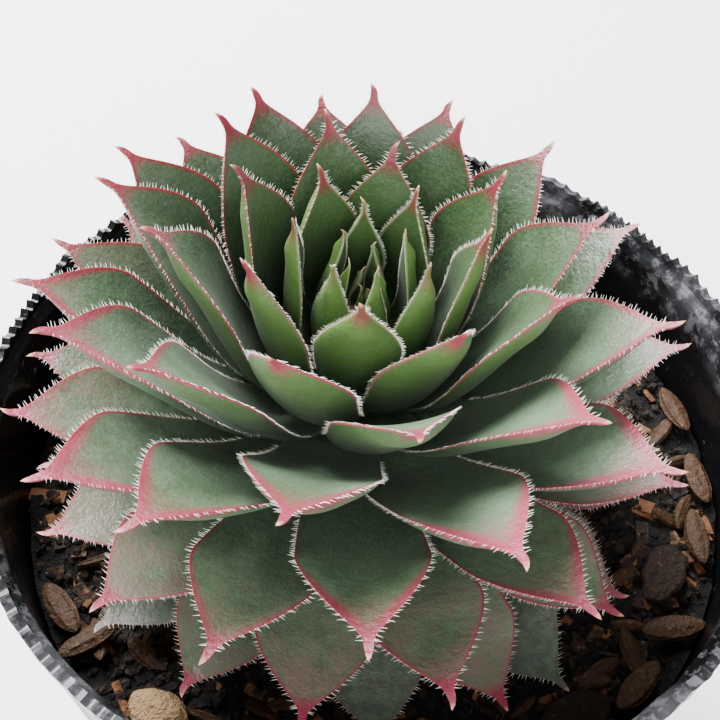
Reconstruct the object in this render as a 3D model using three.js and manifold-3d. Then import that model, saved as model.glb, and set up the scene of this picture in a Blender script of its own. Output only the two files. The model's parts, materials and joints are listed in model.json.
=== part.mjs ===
// A rosette succulent in a thin round nursery pot. Millimetres, +Z up, origin under the pot's centre.
import * as THREE from "three";
import { mergeVertices } from "three/addons/utils/BufferGeometryUtils.js";
import Module from "manifold-3d";

const wasm = await Module();
wasm.setup();

// Pot, with its origin under the centre of its floor
const RIM_RADIUS = 45;
const RIM_HEIGHT = 78;
const RIM_NICK = 0.16;
const BASE_RADIUS = 31;
const WALL = 1;
const LIP_HEIGHT = 3;
const LIP_STEP = 0.8;
const COLLAR_HEIGHT = 16;
const COLLAR_STEP = 0.9;
const COLLAR_BASE = RIM_HEIGHT - LIP_HEIGHT - COLLAR_HEIGHT;
const FLOOR_THICKNESS = 1.4;
const POT_SIDES = 84;
const DRAIN_HOLES = 8;
const DRAIN_RADIUS = 3;
const DRAIN_CIRCLE = 22;

// Soil, with its height counted from the pot's floor plane
const SOIL_TOP = 60.8;
const SOIL_DISH = 0.8;
const SOIL_LUMP = 0.75;
const SOIL_SIDES = 72;
const SOIL_RINGS = 10;
const HOLE_DEPTH = 12;

// Clear space between pieces that touch
const GAP = 0.3;

// Rosette: heights are counted from the pot's rim plane until lean() places them
const LEAVES = 90;
const TURN = THREE.MathUtils.degToRad(137.508);
const FIRST_AZIMUTH = THREE.MathUtils.degToRad(31.8);
const AXIS_X = -2.5;
const LEAN_X = 0.05;
const LEAN_Y = -0.036;
const TIP_REACH = 36.9;
const TIP_SPREAD = 29.9;
const TIP_SHAPE = 1.78;
const MIDDLE_REACH = 0.5;
const FRONT_PULL = 0.318;
const FRONT_PULL_FADE = 0.38;
const CENTRE_HEIGHT = 16.2;
const DOME_RISE = 14.6;
const DOME_AGE = 10.3;
const DROOP = 0.459;
const DROOP_AGE = 32.8;
const DROOP_EASE = 11.3;
const SIDE_SAG = 0.092;
const LOWEST_TIP = -13;
const LOWEST_TIP_SPREAD = 0.8;
const LIFT_REACH = 0.3;
const CROWN_RADIUS = 10;
const CROWN_TIP_RADIUS = 0.6;
const CROWN_AGE = 28;
const CROWN_TOP = 12;
const CROWN_DROP = 25.5;
const CROWN_SHAPE = 0.9;
const CROWN_SIDES = 18;
const STEM_RADIUS = 6;

// Leaf: sizes by age, counted outwards from the youngest, and angles in degrees
const LEAF_WIDTH = 11.8;
const LEAF_LEAST_WIDTH = 1.2;
const WIDTH_AGE = 13;
const WIDTH_SPREAD = 0.12;
const LEAF_THICKNESS = 2.5;
const LEAF_LEAST_THICKNESS = 0.9;
const THICKNESS_AGE = 14;
const ROOT_RISE = 64;
const ROOT_FALL = 8;
const ROOT_RISE_AGE = 33;
const ROOT_DEPTH = 2.4;
const TIP_RISE = 76;
const TIP_RISE_AGE = 24;
const TIP_RISE_SHAPE = 2.6;
const TIP_CURL = 6;
const TIP_RISE_SPREAD = 12;

// Leaf outline and section: places along it from 0 at the root to 1 at the tip, shares of its width
const FOOT_SHARE = 0.75;
const WIDEST = 0.66;
const TAPER = 0.34;
const YOUNG_TAPER = 0.5;
const TAPER_AGE = 14;
const MUCRO_SHARE = 0.12;
const FILLET = 0.2;
const SHOULDER = 1.7;
const MUCRO_RADIUS = 0.42;
const MUCRO_DEPTH = 1.2;
const CUP = 0.16;
const CUP_AT_ROOT = 0.15;
const ROOT_THICKENING = 1.05;
const TIP_THINNING = 0.35;
const THIN_START = 0.74;
const THIN_END = 0.97;
const KEEL = 0.6;
const FLANK = 0.62;

// Rings of a leaf: shares of the way from its root to its taper, then shares of the taper left
const BODY_STATIONS = [0, 0.4, 0.72, 1];
const TAPER_STATIONS = [0.7, 0.45, 0.2];
const YOUNG_BODY_STATIONS = [0, 0.6, 1];
const YOUNG_TAPER_STATIONS = [0.6, 0.27];
const YOUNG_LEAVES = 12;

// Loose pieces on the soil
const HULL_LENGTH = 7.4;
const HULL_WIDTH = 2.7;
const HULL_DEPTH = 1.4;
const CHIP_LENGTH = 9;
const CHIP_WIDTH = 5.6;
const CHIP_THICKNESS = 1.3;
const PEBBLE_LENGTH = 7;

// Azimuth, radius and heading of each loose piece, in degrees and millimetres
const PEBBLE_PLACE = [-124, 39.6, -30];
const HULL_PLACES = [
  [-33, 40.2, 8],
  [-15, 40.3, 88],
  [-45, 40.3, 44],
  [-3, 40.9, 95],
  [-149, 40.8, -50],
  [-142, 39.6, 34],
  [12, 41, 105],
  [64, 40.6, 160],
  [118, 41, 20],
  [171, 40.8, 80],
];
const CHIP_PLACES = [
  [-24, 37.2, 66],
  [-57, 38.8, 33],
  [-73, 39.6, 15],
  [38, 39.5, 130],
  [92, 39.6, 5],
  [146, 39.5, 50],
];

const finishes = {
  plastic: new THREE.MeshStandardMaterial({ color: 0x17181a, roughness: 0.32, metalness: 0 }),
  soil: new THREE.MeshStandardMaterial({ color: 0x2a211b, roughness: 0.95, metalness: 0 }),
  leaf: new THREE.MeshStandardMaterial({ color: 0x7d9a62, roughness: 0.62, metalness: 0 }),
  husk: new THREE.MeshStandardMaterial({ color: 0x9a7a4e, roughness: 0.8, metalness: 0 }),
  bark: new THREE.MeshStandardMaterial({ color: 0x4a2f21, roughness: 0.9, metalness: 0 }),
  stone: new THREE.MeshStandardMaterial({ color: 0xb7a88e, roughness: 0.85, metalness: 0 }),
};

// A fixed pseudo-random number from 0 to 1 for an index and a channel.
function draw(index, channel) {
  const wave = Math.sin(index * 12.9898 + channel * 78.233) * 43758.5453;
  return wave - Math.floor(wave);
}

function smooth(from, to, value) {
  const t = Math.min(1, Math.max(0, (value - from) / (to - from)));
  return t * t * (3 - 2 * t);
}

function namedMesh(name, geometry, material) {
  const mesh = new THREE.Mesh(geometry, material);
  mesh.name = name;
  return mesh;
}

// A geometry with shared vertices as a closed solid for joining and cutting.
function solidOf(geometry) {
  const plain = geometry.clone();
  plain.deleteAttribute("normal");
  plain.deleteAttribute("uv");
  const merged = mergeVertices(plain, 1e-4);
  return new wasm.Manifold(
    new wasm.Mesh({
      numProp: 3,
      vertProperties: new Float32Array(merged.attributes.position.array),
      triVerts: new Uint32Array(merged.index.array),
    }),
  );
}

function geometryOf(solid) {
  const mesh = solid.getMesh();
  const geometry = new THREE.BufferGeometry();
  geometry.setAttribute("position", new THREE.BufferAttribute(mesh.vertProperties, 3));
  geometry.setIndex(new THREE.BufferAttribute(mesh.triVerts, 1));
  return geometry;
}

// A profile of [radius, height] pairs turned about +Z.
function turned(profile, sides) {
  const points = profile.map(([radius, height]) => new THREE.Vector2(radius, height));
  return new THREE.LatheGeometry(points, sides).rotateX(Math.PI / 2);
}

// Moves every vertex of a geometry by a function of its position.
function reshape(geometry, change) {
  const places = geometry.attributes.position;
  const point = new THREE.Vector3();
  for (let i = 0; i < places.count; i += 1) {
    point.fromBufferAttribute(places, i);
    change(point);
    places.setXYZ(i, point.x, point.y, point.z);
  }
  return geometry;
}

// Closed skin over rings of points. The first ring is capped from its vertex hub, and the last
// ring closes on a tip point, or is capped like the first where there is no tip.
function skin(rings, hub, tip) {
  const sides = rings[0].length;
  const points = rings.flat();
  const faces = [];
  for (let i = 0; i + 1 < rings.length; i += 1) {
    for (let j = 0; j < sides; j += 1) {
      const a = i * sides + j;
      const b = i * sides + ((j + 1) % sides);
      faces.push(a, b, b + sides, a, b + sides, a + sides);
    }
  }
  const last = (rings.length - 1) * sides;
  for (let j = 0; j < sides; j += 1) {
    const next = (j + 1) % sides;
    if (j !== hub && next !== hub) faces.push(hub, next, j);
    if (tip) faces.push(last + j, last + next, points.length);
    else if (j !== hub && next !== hub) faces.push(last + hub, last + j, last + next);
  }
  if (tip) points.push(tip);
  const geometry = new THREE.BufferGeometry();
  const places = points.flatMap((p) => p.toArray());
  geometry.setAttribute("position", new THREE.Float32BufferAttribute(places, 3));
  geometry.setIndex(faces);
  return geometry;
}

// Pot

// Height that the torn, crinkled top edge loses at an angle.
function rimNick(angle) {
  const wave = Math.sin(11 * angle + 1.1) + Math.sin(23 * angle + 0.4) + Math.sin(37 * angle);
  return RIM_NICK * (wave + 3);
}

function makePot() {
  const lip = RIM_RADIUS;
  const collar = lip - LIP_STEP;
  const body = collar - COLLAR_STEP;
  const inner = RIM_RADIUS - WALL;
  const profile = [
    [0, 0],
    [BASE_RADIUS - 1, 0],
    [BASE_RADIUS, 1],
    [body, COLLAR_BASE - 1],
    [collar, COLLAR_BASE],
    [collar, RIM_HEIGHT - LIP_HEIGHT],
    [lip, RIM_HEIGHT - LIP_HEIGHT + LIP_STEP],
    [lip, RIM_HEIGHT],
    [inner, RIM_HEIGHT],
    [inner, RIM_HEIGHT - LIP_HEIGHT + LIP_STEP],
    [inner - LIP_STEP, RIM_HEIGHT - LIP_HEIGHT],
    [collar - WALL, COLLAR_BASE],
    [body - WALL, COLLAR_BASE - 1],
    [BASE_RADIUS - WALL, FLOOR_THICKNESS],
    [0, FLOOR_THICKNESS],
  ];
  const shell = reshape(turned(profile, POT_SIDES), (p) => {
    if (p.z > RIM_HEIGHT - 0.5) p.z -= rimNick(Math.atan2(p.y, p.x));
  });
  let pot = solidOf(shell);
  for (let i = 0; i < DRAIN_HOLES; i += 1) {
    const angle = ((i + 0.5) / DRAIN_HOLES) * 2 * Math.PI;
    const drill = new THREE.CylinderGeometry(DRAIN_RADIUS, DRAIN_RADIUS, 4 * FLOOR_THICKNESS, 12);
    drill.rotateX(Math.PI / 2);
    drill.translate(DRAIN_CIRCLE * Math.cos(angle), DRAIN_CIRCLE * Math.sin(angle), 0);
    pot = pot.subtract(solidOf(drill));
  }
  return geometryOf(pot);
}

// Soil

function soilHeight(x, y) {
  const lumps =
    Math.sin(0.53 * x + 1.3) * Math.cos(0.47 * y - 0.4) +
    0.6 * Math.sin(1.13 * x - 0.7 * y) +
    0.5 * Math.cos(0.31 * x + 1.21 * y + 2);
  const away = Math.hypot(x, y) / RIM_RADIUS;
  return SOIL_TOP - SOIL_DISH * (1 - away * away) + (SOIL_LUMP / 2) * lumps;
}

function makeSoil() {
  const floor = FLOOR_THICKNESS + GAP;
  const edge = RIM_RADIUS - LIP_STEP - WALL - GAP;
  const profile = [
    [0, floor],
    [BASE_RADIUS - WALL - GAP, floor],
    [edge - COLLAR_STEP, COLLAR_BASE - 1],
    [edge, COLLAR_BASE + 0.4],
  ];
  for (let i = SOIL_RINGS; i >= 0; i -= 1) {
    profile.push([(edge * i) / SOIL_RINGS, SOIL_TOP]);
  }
  const bed = reshape(turned(profile, SOIL_SIDES), (p) => {
    if (p.z > SOIL_TOP - 0.1) p.z = soilHeight(p.x, p.y);
  });
  return geometryOf(solidOf(bed).subtract(makeStem(STEM_RADIUS + GAP, 0)));
}

// Rosette

// The plant's whole axis leans a little; this places a point given about the upright axis.
function lean(x, y, z) {
  return new THREE.Vector3(
    x + LEAN_X * z + AXIS_X,
    y + LEAN_Y * z,
    z - LEAN_X * x - LEAN_Y * y + RIM_HEIGHT,
  );
}

// Share of its full size that something reaches by leaf n, given the age that sets its pace.
function grown(n, age, shape = 1) {
  return 1 - Math.exp(-((n / age) ** shape));
}

// Point of the crown that leaf n grows from: the youngest is at the top in the middle.
function crownPoint(n) {
  return {
    radius: CROWN_RADIUS * grown(n, CROWN_AGE) + CROWN_TIP_RADIUS,
    height: CROWN_TOP - CROWN_DROP * (n / LEAVES) ** CROWN_SHAPE,
  };
}

// Azimuth, root, tip, size and bend of leaf n, counted outwards from the youngest.
function leafPlan(n) {
  const azimuth = FIRST_AZIMUTH - TURN * n;
  const out = new THREE.Vector3(Math.cos(azimuth), Math.sin(azimuth), 0);
  const spread = TIP_REACH * grown(n, TIP_SPREAD, TIP_SHAPE) + MIDDLE_REACH;
  let reach = spread * (1 - (FRONT_PULL - (FRONT_PULL_FADE * n) / LEAVES) * out.y);
  const past = n - DROOP_AGE;
  let height = CENTRE_HEIGHT + DOME_RISE * grown(n, DOME_AGE);
  height -= DROOP * (past + Math.hypot(past, DROOP_EASE));
  height -= (SIDE_SAG * reach * out.x * n) / LEAVES;
  const lift = Math.max(0, LOWEST_TIP + LOWEST_TIP_SPREAD * draw(n, 1) - height);
  height += lift;
  reach += LIFT_REACH * lift;
  const crown = crownPoint(n);
  const fullWidth = (LEAF_WIDTH - LEAF_LEAST_WIDTH) * (1 + WIDTH_SPREAD * (draw(n, 2) - 0.5));
  const rootRise = ROOT_RISE * Math.exp(-n / ROOT_RISE_AGE) - ROOT_FALL;
  const tipRise = TIP_RISE / (1 + (n / TIP_RISE_AGE) ** TIP_RISE_SHAPE) + TIP_CURL;
  return {
    out,
    root: lean(crown.radius * out.x, crown.radius * out.y, crown.height),
    rootDepth: Math.min(ROOT_DEPTH, crown.radius),
    tip: lean(reach * out.x, reach * out.y, height),
    width: LEAF_LEAST_WIDTH + fullWidth * grown(n, WIDTH_AGE, 2),
    taper: TAPER + YOUNG_TAPER * Math.exp(-n / TAPER_AGE),
    thickness:
      LEAF_LEAST_THICKNESS + (LEAF_THICKNESS - LEAF_LEAST_THICKNESS) * grown(n, THICKNESS_AGE),
    rootRise: THREE.MathUtils.degToRad(rootRise),
    tipRise: THREE.MathUtils.degToRad(tipRise + TIP_RISE_SPREAD * (draw(n, 3) - 0.5)),
  };
}

// Half width at t of a leaf of width 1: nearly even, then shoulders that round in to its mucro.
function bladeHalfWidth(t, taper) {
  const growth = Math.sin((Math.PI / 2) * Math.min(1, t / WIDEST));
  const left = Math.min(1, Math.max(0, ((1 - t) / taper - MUCRO_SHARE) / (1 - MUCRO_SHARE)));
  const eased = (left * left * (1 + FILLET)) / (left + FILLET);
  return ((FOOT_SHARE + (1 - FOOT_SHARE) * growth) * (1 - (1 - eased) ** SHOULDER)) / 2;
}

// Place across the blade, and height of its two faces, at t along it and x of its half width.
function bladeSection(plan, t, x) {
  const half = Math.hypot(bladeHalfWidth(t, plan.taper) * plan.width, MUCRO_RADIUS);
  const across = (x * half) / (plan.width / 2);
  const upper = CUP * plan.width * (CUP_AT_ROOT + (1 - CUP_AT_ROOT) * t) * across * across;
  const thinning = (ROOT_THICKENING - TIP_THINNING * t) * (1 - smooth(THIN_START, THIN_END, t));
  const depth = Math.hypot(plan.thickness * thinning, MUCRO_DEPTH * MUCRO_RADIUS);
  return { side: x * half, upper, lower: upper - depth * (1 - x * x) ** KEEL };
}

function makeLeaf(n) {
  const plan = leafPlan(n);
  const third = plan.root.distanceTo(plan.tip) / 3;
  const rising = (angle) => plan.out.clone().setZ(Math.tan(angle)).normalize();
  const midrib = new THREE.CubicBezierCurve3(
    plan.root,
    plan.root.clone().addScaledVector(rising(plan.rootRise), third),
    plan.tip.clone().addScaledVector(rising(plan.tipRise), -third),
    plan.tip,
  );
  const young = n < YOUNG_LEAVES;
  const stations = [
    ...(young ? YOUNG_BODY_STATIONS : BODY_STATIONS).map((share) => share * (1 - plan.taper)),
    ...(young ? YOUNG_TAPER_STATIONS : TAPER_STATIONS).map((left) => 1 - left * plan.taper),
  ];
  const rings = stations.map((t) => {
    const along = midrib.getTangent(t);
    const tangential = new THREE.Vector3(-plan.out.y, plan.out.x, 0);
    const side = tangential.addScaledVector(along, -tangential.dot(along)).normalize();
    const face = new THREE.Vector3().crossVectors(along, side);
    const centre = midrib.getPoint(t);
    if (t === 0) centre.addScaledVector(along, -plan.rootDepth);
    const place = (x, z) => centre.clone().addScaledVector(side, x).addScaledVector(face, z);
    const margin = bladeSection(plan, t, 1);
    const flank = bladeSection(plan, t, FLANK);
    const rib = bladeSection(plan, t, 0);
    return [
      place(margin.side, margin.upper),
      place(0, rib.upper),
      place(-margin.side, margin.upper),
      place(-flank.side, flank.lower),
      place(0, rib.lower),
      place(flank.side, flank.lower),
    ];
  });
  return solidOf(skin(rings, 4, plan.tip));
}

// A solid turned about the plant's axis, and leaned with it.
function aroundAxis(profile) {
  const upright = turned(profile, CROWN_SIDES);
  return solidOf(reshape(upright, (p) => p.copy(lean(p.x, p.y, p.z))));
}

// The short stem, or the hole for it, from the crown down to a foot in the soil.
function makeStem(radius, raise) {
  const foot = SOIL_TOP - HOLE_DEPTH - RIM_HEIGHT + raise;
  const top = crownPoint(LEAVES).height;
  return aroundAxis([
    [0, foot],
    [radius, foot],
    [radius, top],
    [0, top],
  ]);
}

// The crown that the leaves grow from.
function makeCrown() {
  const base = crownPoint(LEAVES);
  const profile = [
    [0, base.height - 2],
    [STEM_RADIUS, base.height - 2],
  ];
  for (let n = LEAVES; n >= 0; n -= 15) {
    const { radius, height } = crownPoint(n);
    profile.push([radius + 0.3, height]);
  }
  profile.push([0, CROWN_TOP + 0.5]);
  return aroundAxis(profile);
}

function makeRosette() {
  let plant = makeStem(STEM_RADIUS, GAP).add(makeCrown());
  for (let n = 0; n < LEAVES; n += 1) plant = plant.add(makeLeaf(n));
  return geometryOf(plant);
}

// Loose pieces on the soil

// Puts a small piece, made about the origin, on the soil at an azimuth and radius, turned by spin.
// The ground under it is felt on a circle of radius reach.
function layOnSoil(mesh, azimuth, radius, spin, reach) {
  const x = radius * Math.cos(THREE.MathUtils.degToRad(azimuth));
  const y = radius * Math.sin(THREE.MathUtils.degToRad(azimuth));
  let ground = 0;
  for (let i = 0; i < 12; i += 1) {
    const a = (i / 12) * 2 * Math.PI;
    ground = Math.max(ground, soilHeight(x + reach * Math.cos(a), y + reach * Math.sin(a)));
  }
  mesh.geometry.rotateZ(THREE.MathUtils.degToRad(spin));
  mesh.geometry.computeBoundingBox();
  mesh.position.set(x, y, Math.max(ground, soilHeight(x, y)) + GAP - mesh.geometry.boundingBox.min.z);
  return mesh;
}

// A rice husk: a slender boat shape, pointed at both ends.
function hullGeometry() {
  const sections = [-0.42, -0.22, 0, 0.22, 0.42];
  const rings = sections.map((s) => {
    const swell = Math.sqrt(1 - (2 * s) ** 2);
    return [0, 1, 2, 3, 4, 5].map((j) => {
      const a = (j / 6) * 2 * Math.PI;
      return new THREE.Vector3(
        s * HULL_LENGTH,
        (HULL_WIDTH / 2) * swell * Math.cos(a),
        (HULL_DEPTH / 2) * swell * Math.sin(a),
      );
    });
  });
  return skin(rings, 0, new THREE.Vector3(HULL_LENGTH / 2, 0, 0.2));
}

// A flat flake of bark with an uneven outline.
function chipGeometry(index) {
  const outline = [0, 1, 2, 3, 4, 5, 6].map((j) => {
    const a = (j / 7) * 2 * Math.PI;
    const size = 0.42 + 0.16 * draw(index * 7 + j, 5);
    return [size * CHIP_LENGTH * Math.cos(a), size * CHIP_WIDTH * Math.sin(a)];
  });
  const level = (height, scale) =>
    outline.map(([x, y]) => new THREE.Vector3(x * scale, y * scale, height));
  const levels = [level(0, 0.9), level(CHIP_THICKNESS / 2, 1), level(CHIP_THICKNESS, 0.82)];
  return skin(levels, 0, null);
}

function pebbleGeometry() {
  const stone = geometryOf(solidOf(new THREE.IcosahedronGeometry(PEBBLE_LENGTH / 2, 2)));
  return reshape(stone, (p) => {
    const dent = 1 + 0.05 * Math.sin(0.9 * p.x + 0.5) + 0.05 * Math.cos(1.1 * p.y - 0.6 * p.z);
    p.multiplyScalar(dent);
    p.y *= 0.72;
    p.z *= 0.5;
  });
}

const plant = new THREE.Group();
plant.add(namedMesh("pot", makePot(), finishes.plastic));
plant.add(namedMesh("soil", makeSoil(), finishes.soil));
plant.add(namedMesh("rosette", makeRosette(), finishes.leaf));
const pebble = namedMesh("pebble", pebbleGeometry(), finishes.stone);
plant.add(layOnSoil(pebble, ...PEBBLE_PLACE, PEBBLE_LENGTH / 3));
HULL_PLACES.forEach((place, i) => {
  const hull = namedMesh(`rice_hull_${i + 1}`, hullGeometry(), finishes.husk);
  plant.add(layOnSoil(hull, ...place, HULL_LENGTH / 3));
});
CHIP_PLACES.forEach((place, i) => {
  const chip = namedMesh(`bark_chip_${i + 1}`, chipGeometry(i), finishes.bark);
  plant.add(layOnSoil(chip, ...place, CHIP_LENGTH / 3));
});

export default plant;
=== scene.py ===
"""Looks of a rosette succulent in a thin nursery pot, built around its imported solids.

Lengths are worked out in millimetres from the plant's own growth rule and turned to metres where a
mesh is made. Z is up, the pot stands on z = 0 and the plant is seen from -Y.
"""

import json
import logging
import math
from dataclasses import dataclass, field
from enum import Enum
from typing import NamedTuple

import bmesh
import bpy
import numpy as np
from mathutils import Matrix, Vector, noise

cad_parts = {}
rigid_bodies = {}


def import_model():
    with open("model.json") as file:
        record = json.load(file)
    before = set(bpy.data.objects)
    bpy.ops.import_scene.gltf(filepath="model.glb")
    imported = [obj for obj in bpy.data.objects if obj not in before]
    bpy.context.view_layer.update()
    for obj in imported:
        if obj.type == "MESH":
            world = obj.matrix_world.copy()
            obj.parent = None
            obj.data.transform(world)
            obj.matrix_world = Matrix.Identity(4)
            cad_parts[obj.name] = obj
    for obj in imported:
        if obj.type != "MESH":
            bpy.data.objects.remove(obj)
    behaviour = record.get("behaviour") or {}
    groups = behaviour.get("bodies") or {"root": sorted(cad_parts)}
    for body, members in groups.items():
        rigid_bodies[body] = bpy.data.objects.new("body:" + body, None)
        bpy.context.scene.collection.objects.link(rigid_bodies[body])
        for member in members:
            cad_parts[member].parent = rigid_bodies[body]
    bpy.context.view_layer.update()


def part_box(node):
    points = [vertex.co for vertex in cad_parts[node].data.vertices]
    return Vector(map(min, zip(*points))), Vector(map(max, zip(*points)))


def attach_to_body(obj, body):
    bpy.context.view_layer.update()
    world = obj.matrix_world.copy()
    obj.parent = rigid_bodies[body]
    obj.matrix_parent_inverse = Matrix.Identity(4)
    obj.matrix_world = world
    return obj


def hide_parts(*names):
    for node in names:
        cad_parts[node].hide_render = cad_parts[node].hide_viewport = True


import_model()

log = logging.getLogger("succulent")

MM = 0.001
BODY = "root"
MM_IN_METRE = 1000


def draw(index: float, channel: float) -> float:
    """A fixed pseudo-random number from 0 to 1 for an index and a channel."""
    wave = math.sin(index * 12.9898 + channel * 78.233) * 43758.5453
    return wave - math.floor(wave)


def linear(red: int, green: int, blue: int) -> tuple[float, float, float, float]:
    """A colour given as it looks on a screen, 0 to 255, as the shader's linear colour."""
    parts = [c / 255 for c in (red, green, blue)]
    curved = [c / 12.92 if c <= 0.04045 else ((c + 0.055) / 1.055) ** 2.4 for c in parts]
    return (*curved, 1.0)


def link(name: str, data: bpy.types.ID) -> bpy.types.Object:
    """Makes an object of a mesh, a light or a camera and puts it in the scene."""
    made = bpy.data.objects.new(name, data)
    bpy.context.scene.collection.objects.link(made)
    return made


class Wire:
    """A number socket of a node tree; each sum on it adds one Math node."""

    def __init__(self, tree: "Tree", socket: bpy.types.NodeSocket) -> None:
        """Keeps the tree and the output socket."""
        self.tree = tree
        self.socket = socket

    def __add__(self, other: "Wire | float") -> "Wire":
        """self + other."""
        return self.tree.math("ADD", self, other)

    __radd__ = __add__

    def __sub__(self, other: "Wire | float") -> "Wire":
        """self - other."""
        return self.tree.math("SUBTRACT", self, other)

    def __rsub__(self, other: float) -> "Wire":
        """other - self."""
        return self.tree.math("SUBTRACT", other, self)

    def __mul__(self, other: "Wire | float") -> "Wire":
        """self * other."""
        return self.tree.math("MULTIPLY", self, other)

    __rmul__ = __mul__

    def __truediv__(self, other: "Wire | float") -> "Wire":
        """self / other."""
        return self.tree.math("DIVIDE", self, other)

    def __rtruediv__(self, other: float) -> "Wire":
        """other / self."""
        return self.tree.math("DIVIDE", other, self)

    def __pow__(self, other: "Wire | float") -> "Wire":
        """self to the power of other."""
        return self.tree.math("POWER", self, other)

    def __neg__(self) -> "Wire":
        """-self."""
        return self.tree.math("MULTIPLY", self, -1.0)

    def func(self, operation: str) -> "Wire":
        """One of the Math node's functions of one value, such as SINE or ABSOLUTE."""
        return self.tree.math(operation, self)

    def least(self, other: "Wire | float") -> "Wire":
        """The smaller of the two."""
        return self.tree.math("MINIMUM", self, other)

    def most(self, other: "Wire | float") -> "Wire":
        """The larger of the two."""
        return self.tree.math("MAXIMUM", self, other)

    def between(self, low: float, high: float, smooth: bool = True) -> "Wire":
        """How far the value has gone from low to high, held to 0..1.

        Args:
            low: the value that gives 0.
            high: the value that gives 1; it may be below low.
            smooth: eases in and out where true, and is straight where false.

        Returns:
            The share as a new wire.
        """
        kind = "SMOOTHSTEP" if smooth else "LINEAR"
        flip = low > high
        sockets = {"Value": self, "From Min": min(low, high), "From Max": max(low, high)}
        node = self.tree.add("ShaderNodeMapRange", {"interpolation_type": kind}, sockets)
        share = Wire(self.tree, node.outputs[0])
        return 1.0 - share if flip else share


class Arrow:
    """A vector socket of a node tree; each sum on it adds one Vector Math node."""

    def __init__(self, tree: "Tree", socket: bpy.types.NodeSocket) -> None:
        """Keeps the tree and the output socket."""
        self.tree = tree
        self.socket = socket

    def __add__(self, other: "Arrow | tuple") -> "Arrow":
        """self + other."""
        return self.tree.vector("ADD", self, other)

    def __sub__(self, other: "Arrow | tuple") -> "Arrow":
        """self - other."""
        return self.tree.vector("SUBTRACT", self, other)

    def __mul__(self, factor: "Wire | float") -> "Arrow":
        """self scaled by a number."""
        node = self.tree.add("ShaderNodeVectorMath", {"operation": "SCALE"}, {0: self, "Scale": factor})
        return Arrow(self.tree, node.outputs[0])

    __rmul__ = __mul__

    def cross(self, other: "Arrow") -> "Arrow":
        """The cross product with other."""
        return self.tree.vector("CROSS_PRODUCT", self, other)

    def dot(self, other: "Arrow") -> Wire:
        """The dot product with other."""
        node = self.tree.add("ShaderNodeVectorMath", {"operation": "DOT_PRODUCT"}, {0: self, 1: other})
        return Wire(self.tree, node.outputs["Value"])

    def unit(self) -> "Arrow":
        """The same direction at length 1."""
        return self.tree.vector("NORMALIZE", self)

    def parts(self) -> tuple[Wire, Wire, Wire]:
        """The three components."""
        node = self.tree.add("ShaderNodeSeparateXYZ", {}, {0: self})
        return tuple(Wire(self.tree, node.outputs[i]) for i in range(3))


class Tree:
    """A shader or geometry node tree that nodes are added to by type."""

    def __init__(self, nodes: bpy.types.NodeTree) -> None:
        """Keeps Blender's own tree."""
        self.nodes = nodes

    @staticmethod
    def pick(sockets: bpy.types.NodeInputs, key: "str | int") -> bpy.types.NodeSocket:
        """The socket at an index, or the first one in use that has a name."""
        if isinstance(key, int):
            return sockets[key]
        return next(s for s in sockets if s.name == key and s.enabled)

    def feed(self, socket: bpy.types.NodeSocket, value: object) -> None:
        """Links a wire, an arrow or an output into a socket, or sets the socket's own value."""
        if isinstance(value, (Wire, Arrow)):
            self.nodes.links.new(value.socket, socket)
        elif isinstance(value, bpy.types.NodeSocket):
            self.nodes.links.new(value, socket)
        else:
            socket.default_value = value

    def add(self, kind: str, settings: dict | None = None, sockets: dict | None = None) -> bpy.types.Node:
        """Adds one node.

        Args:
            kind: the node's type.
            settings: its own properties, which are set first.
            sockets: values or links of its inputs, by name or index.

        Returns:
            The new node.
        """
        node = self.nodes.nodes.new(kind)
        for name, value in (settings or {}).items():
            setattr(node, name, value)
        for key, value in (sockets or {}).items():
            self.feed(self.pick(node.inputs, key), value)
        return node

    def math(self, operation: str, *values: "Wire | float") -> Wire:
        """One Math node."""
        node = self.add("ShaderNodeMath", {"operation": operation}, dict(enumerate(values)))
        return Wire(self, node.outputs[0])

    def vector(self, operation: str, *values: "Arrow | tuple") -> Arrow:
        """One Vector Math node."""
        node = self.add("ShaderNodeVectorMath", {"operation": operation}, dict(enumerate(values)))
        return Arrow(self, node.outputs[0])

    def mix(self, share: "Wire | float", first: object, second: object) -> Arrow:
        """A colour between first and second."""
        sockets = {"Factor": share, "A": first, "B": second}
        node = self.add("ShaderNodeMix", {"data_type": "RGBA"}, sockets)
        return Arrow(self, self.pick(node.outputs, "Result"))


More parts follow.
